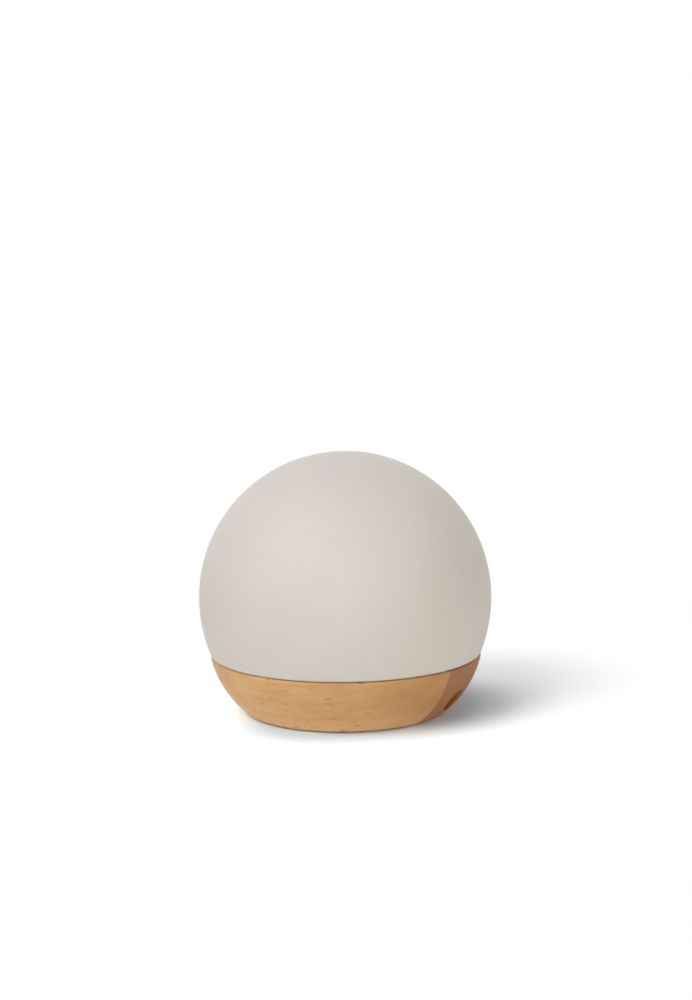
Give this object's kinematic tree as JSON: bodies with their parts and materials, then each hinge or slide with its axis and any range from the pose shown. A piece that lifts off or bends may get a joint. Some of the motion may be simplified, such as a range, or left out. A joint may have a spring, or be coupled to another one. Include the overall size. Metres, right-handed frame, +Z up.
{
  "type": "rechargeable table lamp",
  "caption": "Frosted opal glass globe set into a shallow turned beech base with a charging recess in its side, a light unit and battery inside and a push button underneath.",
  "frame": {"origin": "on the table, under the middle of the lamp", "axes": "+Z up along the lamp's turning axis; +X out through the middle of the charging recess"},
  "size_m": [0.15, 0.15, 0.1331],
  "materials": {
    "opal_glass": "satin-etched opal white",
    "beech_light": "clear matt oil over sanded beech",
    "beech_dark": "clear matt oil over sanded beech, a redder board",
    "clear_silicone": "translucent silicone",
    "white_moulding": "fine spark texture",
    "steel_screw": "zinc plated",
    "thermal_silicone": "soft matt sheet",
    "white_circuit_board": "white solder mask on an aluminium core",
    "light_chip": "phosphor under clear silicone",
    "diffuser": "frosted",
    "battery_sleeve": "shrink sleeve",
    "bare_metal": "bright nickel plate",
    "foam": "open cell",
    "dark_moulding": "satin nylon",
    "green_circuit_board": "green solder mask",
    "chip_package": "moulded epoxy",
    "coil_can": "pressed ferrite",
    "connector_nylon": "natural nylon",
    "wire_red": "smooth sleeve",
    "wire_black": "smooth sleeve",
    "socket_moulding": "glass-filled",
    "brown_moulding": "fine spark texture",
    "button_moulding": "satin",
    "cover_moulding": "fine spark texture",
    "foot_rubber": "matt silicone"
  },
  "bodies": {
    "lamp": {"glass_globe": "opal_glass", "beech_board_main": "beech_light", "beech_board_side": "beech_dark", "globe_seat_ring": "clear_silicone", "light_tray": "white_moulding", "tray_screws": "steel_screw", "thermal_pad": "thermal_silicone", "light_board": "white_circuit_board", "light_chips": "light_chip", "light_board_screws": "steel_screw", "reflector_ring": "white_moulding", "diffuser_dome": "diffuser", "diffuser_screws": "steel_screw", "battery_cell": "battery_sleeve", "battery_terminals": "bare_metal", "battery_foam": "foam", "battery_strap": "dark_moulding", "battery_strap_screws": "steel_screw", "main_board": "green_circuit_board", "main_board_chips": "chip_package", "main_board_coil": "coil_can", "main_board_screws": "steel_screw", "battery_socket": "connector_nylon", "battery_plug": "connector_nylon", "battery_lead_red": "wire_red", "battery_lead_black": "wire_black", "light_socket": "connector_nylon", "light_plug": "connector_nylon", "light_lead_red": "wire_red", "light_lead_black": "wire_black", "charging_board": "green_circuit_board", "charging_board_screws": "steel_screw", "charging_shell": "bare_metal", "charging_tongue": "socket_moulding", "charging_insert": "brown_moulding", "charging_lead_red": "wire_red", "charging_lead_black": "wire_black", "switch_housing": "socket_moulding", "bottom_cover": "cover_moulding", "cover_screws": "steel_screw", "foot_ring": "foot_rubber"},
    "button": {"power_button": "button_moulding", "switch_plunger": "connector_nylon"}
  },
  "joints": [
    {"name": "button_press", "type": "slide", "parent": "lamp", "child": "button", "axis": [0, 0, 1], "range_m": [0, 0.001], "stiffness_N_per_m": 800, "springref_m": -0.0005}
  ]
}
